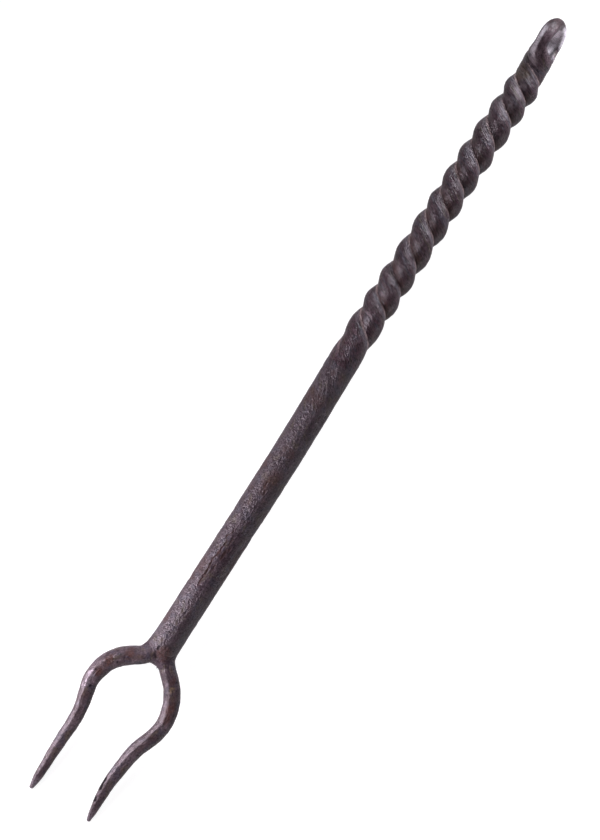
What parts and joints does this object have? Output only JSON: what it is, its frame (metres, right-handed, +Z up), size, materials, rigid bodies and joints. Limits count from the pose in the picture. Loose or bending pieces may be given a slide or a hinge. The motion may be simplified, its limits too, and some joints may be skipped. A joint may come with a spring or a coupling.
{
  "type": "roasting fork",
  "caption": "Hand-forged iron fork with a round shaft, a rope-twisted handle ending in a small hanging eye, and tapered lyre-shaped tines.",
  "frame": {"origin": "middle of the overall box on the flat surface that the fork lies on; the shaft's axis is straight above the Y axis", "axes": "+Y along the shaft from the tines to the hanging eye, +X to the right seen from above with the eye away from the viewer, +Z up"},
  "size_m": [0.0395, 0.361, 0.0197],
  "materials": {
    "shaft_iron": "forge scale under dark wax, satin, rubbed brighter in patches",
    "handle_iron": "smooth dark waxed forge scale, rust-brown in the grooves",
    "eye_iron": "forge scale worn brighter by handling and hanging",
    "tine_iron": "hammered and faceted, brown-black waxed scale, brighter ground tips",
    "weld_metal": "lumpy forge weld under dark scale"
  },
  "bodies": {
    "root": {"shaft": "shaft_iron", "strand_a": "handle_iron", "strand_b": "handle_iron", "hanging_eye": "eye_iron", "left_tine": "tine_iron", "right_tine": "tine_iron", "crotch_weld": "weld_metal", "root_weld": "weld_metal"}
  },
  "joints": []
}
